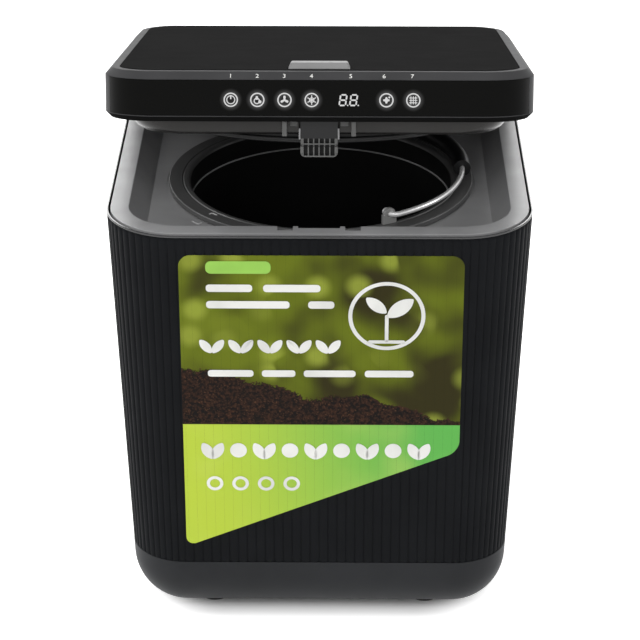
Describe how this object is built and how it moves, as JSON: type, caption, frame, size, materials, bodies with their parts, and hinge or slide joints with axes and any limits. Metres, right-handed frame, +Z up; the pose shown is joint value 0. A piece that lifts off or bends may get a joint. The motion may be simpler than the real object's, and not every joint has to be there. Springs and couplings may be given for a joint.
{
  "type": "electric food waste composter",
  "caption": "Ribbed countertop composter with a lift-out bucket on a bail, a hinged latched lid with a touch panel, and the drive, heater, fan and filter drawer inside.",
  "frame": {"origin": "on the floor, under the middle of the part as it stands with its lid partly open", "axes": "+Z up, the front with the touch panel faces -Y, +X to the right seen from the front"},
  "size_m": [0.279, 0.3212, 0.4046],
  "materials": {
    "casing_ribbed": "fine-textured charcoal plastic with vertical flutes",
    "casing_tub": "satin charcoal plastic",
    "deck": "satin dark grey plastic, bright on the rim",
    "black_plastic": "satin black plastic",
    "lid_plastic": "satin dark grey plastic",
    "panel_gloss": "high-gloss black touch panel",
    "button_grey": "satin light grey plastic",
    "liner_grey": "satin grey plastic",
    "label_print": "printed film, green",
    "bucket_coat": "dark coated metal",
    "steel_wire": "bright drawn steel",
    "steel_part": "machined steel",
    "aluminium_cup": "pressed aluminium",
    "silicone": "soft black silicone",
    "rubber_foot": "matt rubber",
    "gear_nylon": "natural nylon",
    "gearbox_cast": "die-cast",
    "bronze": "sintered bronze",
    "insulation": "fibre blanket",
    "circuit": "circuit board",
    "carbon": "granular charcoal in a moulded frame"
  },
  "bodies": {
    "base": {"ribbed_sleeve": "casing_ribbed", "base_tub": "casing_tub", "top_deck": "deck", "rear_panel": "black_plastic", "rubber_feet": "rubber_foot", "base_screws": "steel_part", "front_label": "label_print", "chamber_pot": "aluminium_cup", "heater_plate": "aluminium_cup", "insulation_jacket": "insulation", "thermostat": "gear_nylon", "shaft_seal": "silicone", "gearbox_tray": "gearbox_cast", "gearbox_cover": "gearbox_cast", "gearbox_screws": "steel_part", "drive_motor": "steel_part", "idler_shaft": "steel_part", "fan_housing": "black_plastic", "intake_grille": "black_plastic", "air_duct": "black_plastic", "filter_housing": "black_plastic", "power_board": "circuit", "mains_inlet": "black_plastic", "reed_switch": "circuit", "hinge_brackets": "black_plastic", "hinge_pins": "steel_part"},
    "motor_rotor": {"motor_shaft": "steel_part", "motor_pinion": "bronze"},
    "idler": {"idler_gear": "gear_nylon"},
    "output_drive": {"output_gear": "gear_nylon", "output_shaft": "steel_part", "drive_dog": "steel_part"},
    "fan_rotor": {"fan_impeller": "black_plastic"},
    "drawer": {"filter_drawer": "black_plastic", "filter_cartridge": "carbon"},
    "bucket_body": {"bucket": "bucket_coat", "bail_lugs": "bucket_coat", "bucket_bush": "bronze", "breaker_bars": "steel_part"},
    "bail": {"bail_wire": "steel_wire", "bail_grip": "black_plastic"},
    "paddle": {"paddle_shaft": "steel_part", "grinding_paddle": "steel_part", "paddle_dog": "steel_part"},
    "lid": {"lid_shell": "lid_plastic", "lid_top_panel": "lid_plastic", "touch_panel": "panel_gloss", "control_board": "circuit", "display_module": "circuit", "lid_liner": "liner_grey", "seal_plug": "black_plastic", "lid_gasket": "silicone", "lid_magnet": "steel_part", "latch_pin": "steel_part", "latch_spring": "steel_part"},
    "latch": {"latch_lever": "black_plastic"},
    "button": {"release_button": "button_grey"}
  },
  "joints": [
    {"name": "lid_hinge", "type": "hinge", "parent": "base", "child": "lid", "pos_m": [0, 0.1447, 0.31745], "axis": [-1, 0, 0], "range_deg": [-13.8, 62]},
    {"name": "latch_pivot", "type": "hinge", "parent": "lid", "child": "latch", "pos_m": [0, -0.11578, 0.37777], "axis": [1, 0, 0], "range_deg": [0, 5.5], "stiffness_Nm_per_rad": 1.5, "springref_deg": -6.88},
    {"name": "button_press", "type": "slide", "parent": "lid", "child": "button", "axis": [0, -0.2385, -0.9711], "range_m": [0, 0.0015]},
    {"name": "bucket_lift", "type": "slide", "parent": "base", "child": "bucket_body", "axis": [0, 0, 1], "range_m": [0, 0.012]},
    {"name": "bail_swing", "type": "hinge", "parent": "bucket_body", "child": "bail", "pos_m": [0, -0.03715, 0.2968], "axis": [0.4894, -0.8721, 0], "range_deg": [0, 16]},
    {"name": "output_spin", "type": "hinge", "parent": "base", "child": "output_drive", "pos_m": [0, -0.03715, 0.1], "axis": [0, 0, 1], "continuous": true},
    {"name": "paddle_spin", "type": "hinge", "parent": "bucket_body", "child": "paddle", "pos_m": [0, -0.03715, 0.17], "axis": [0, 0, 1], "continuous": true},
    {"name": "idler_spin", "type": "hinge", "parent": "base", "child": "idler", "pos_m": [-0.02282, 0.01179, 0.08], "axis": [0, 0, 1], "continuous": true},
    {"name": "motor_spin", "type": "hinge", "parent": "base", "child": "motor_rotor", "pos_m": [0.00667, 0.03244, 0.07], "axis": [0, 0, 1], "continuous": true},
    {"name": "fan_spin", "type": "hinge", "parent": "base", "child": "fan_rotor", "pos_m": [0, 0.10735, 0.15], "axis": [0, 0, 1], "continuous": true},
    {"name": "drawer_slide", "type": "slide", "parent": "base", "child": "drawer", "axis": [0, 1, 0], "range_m": [0, 0.05]}
  ],
  "couplings": [
    {"joint": "button_press", "follows": "latch_pivot", "m_per_rad": 0.014977},
    {"joint": "output_spin", "follows": "idler_spin", "ratio": -0.2},
    {"joint": "paddle_spin", "follows": "idler_spin", "ratio": -0.2},
    {"joint": "motor_spin", "follows": "idler_spin", "ratio": -5}
  ]
}
